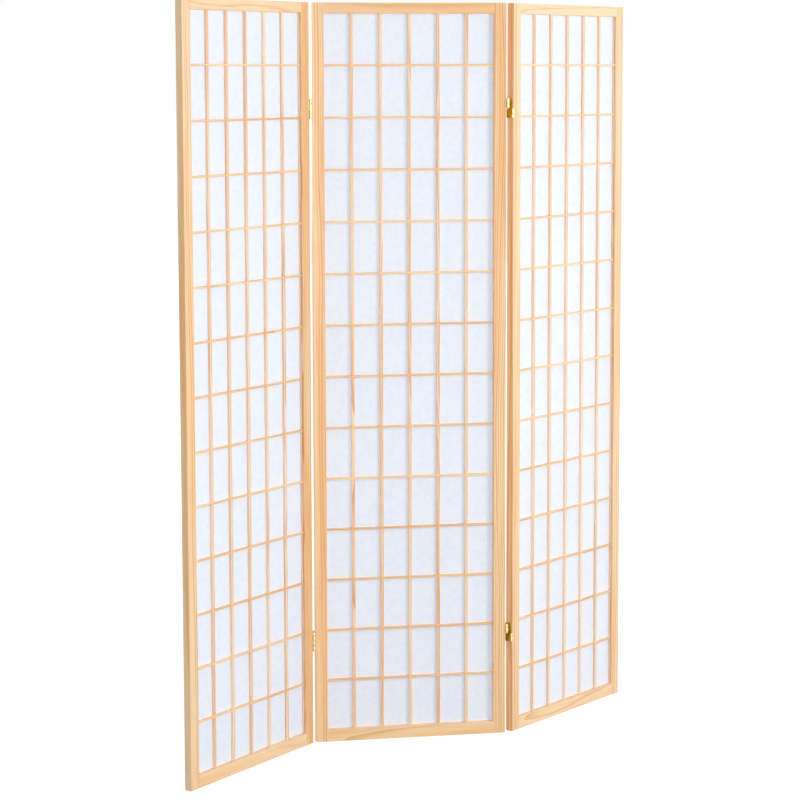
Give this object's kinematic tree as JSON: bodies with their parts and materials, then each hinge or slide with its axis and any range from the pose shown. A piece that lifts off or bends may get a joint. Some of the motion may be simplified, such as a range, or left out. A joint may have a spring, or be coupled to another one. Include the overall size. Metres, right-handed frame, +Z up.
{
  "type": "folding lattice screen",
  "caption": "Free-standing folding screen: pine panels with a papered rectangular lattice, joined edge to edge by small brass two-way hinges and stood in a zigzag.",
  "frame": {"origin": "bottom centre of the middle panel, on the floor, mid thickness", "axes": "+X along the middle panel's width, +Y from its lattice front to its back, +Z up"},
  "size_m": [1.1343, 0.6386, 1.7],
  "materials": {
    "stile_pine": "clear satin lacquer on planed pine",
    "rail_pine": "clear satin lacquer on planed pine",
    "upright_pine": "clear satin lacquer on sawn pine",
    "cross_pine": "clear satin lacquer on sawn pine",
    "bead_pine": "clear satin lacquer on planed pine",
    "shoji_paper": "matt fibrous white paper",
    "leaf_brass": "brass-plated steel, bright",
    "link_brass": "brass-plated steel, bright",
    "pin_steel": "bright steel wire",
    "screw_brass": "brass-plated, countersunk heads"
  },
  "bodies": {
    "middle_panel": {"left_bottom_hinge_inner_leaf": "leaf_brass", "left_bottom_hinge_upper_link": "link_brass", "left_hinge_inner_pins": "pin_steel", "left_hinge_inner_screws": "screw_brass", "left_top_hinge_inner_leaf": "leaf_brass", "left_top_hinge_upper_link": "link_brass", "middle_panel_bottom_bead": "bead_pine", "middle_panel_bottom_rail": "rail_pine", "middle_panel_cross_bars": "cross_pine", "middle_panel_left_bead": "bead_pine", "middle_panel_left_stile": "stile_pine", "middle_panel_paper": "shoji_paper", "middle_panel_right_bead": "bead_pine", "middle_panel_right_stile": "stile_pine", "middle_panel_top_bead": "bead_pine", "middle_panel_top_rail": "rail_pine", "middle_panel_upright_bars": "upright_pine", "right_bottom_hinge_inner_leaf": "leaf_brass", "right_bottom_hinge_upper_link": "link_brass", "right_hinge_inner_pins": "pin_steel", "right_hinge_inner_screws": "screw_brass", "right_top_hinge_inner_leaf": "leaf_brass", "right_top_hinge_upper_link": "link_brass"},
    "left_panel": {"left_bottom_hinge_lower_link": "link_brass", "left_bottom_hinge_outer_leaf": "leaf_brass", "left_hinge_outer_pins": "pin_steel", "left_hinge_outer_screws": "screw_brass", "left_panel_bottom_bead": "bead_pine", "left_panel_bottom_rail": "rail_pine", "left_panel_cross_bars": "cross_pine", "left_panel_left_bead": "bead_pine", "left_panel_left_stile": "stile_pine", "left_panel_paper": "shoji_paper", "left_panel_right_bead": "bead_pine", "left_panel_right_stile": "stile_pine", "left_panel_top_bead": "bead_pine", "left_panel_top_rail": "rail_pine", "left_panel_upright_bars": "upright_pine", "left_top_hinge_lower_link": "link_brass", "left_top_hinge_outer_leaf": "leaf_brass"},
    "right_panel": {"right_bottom_hinge_lower_link": "link_brass", "right_bottom_hinge_outer_leaf": "leaf_brass", "right_hinge_outer_pins": "pin_steel", "right_hinge_outer_screws": "screw_brass", "right_panel_bottom_bead": "bead_pine", "right_panel_bottom_rail": "rail_pine", "right_panel_cross_bars": "cross_pine", "right_panel_left_bead": "bead_pine", "right_panel_left_stile": "stile_pine", "right_panel_paper": "shoji_paper", "right_panel_right_bead": "bead_pine", "right_panel_right_stile": "stile_pine", "right_panel_top_bead": "bead_pine", "right_panel_top_rail": "rail_pine", "right_panel_upright_bars": "upright_pine", "right_top_hinge_lower_link": "link_brass", "right_top_hinge_outer_leaf": "leaf_brass"}
  },
  "joints": [
    {"name": "left_panel_fold", "type": "hinge", "parent": "middle_panel", "child": "left_panel", "pos_m": [-0.2275, -0.00975, 0.85], "axis": [0, 0, 1], "range_deg": [-46, 134]},
    {"name": "right_panel_fold", "type": "hinge", "parent": "middle_panel", "child": "right_panel", "pos_m": [0.2275, 0.00975, 0.85], "axis": [0, 0, 1], "range_deg": [-41, 139]}
  ]
}
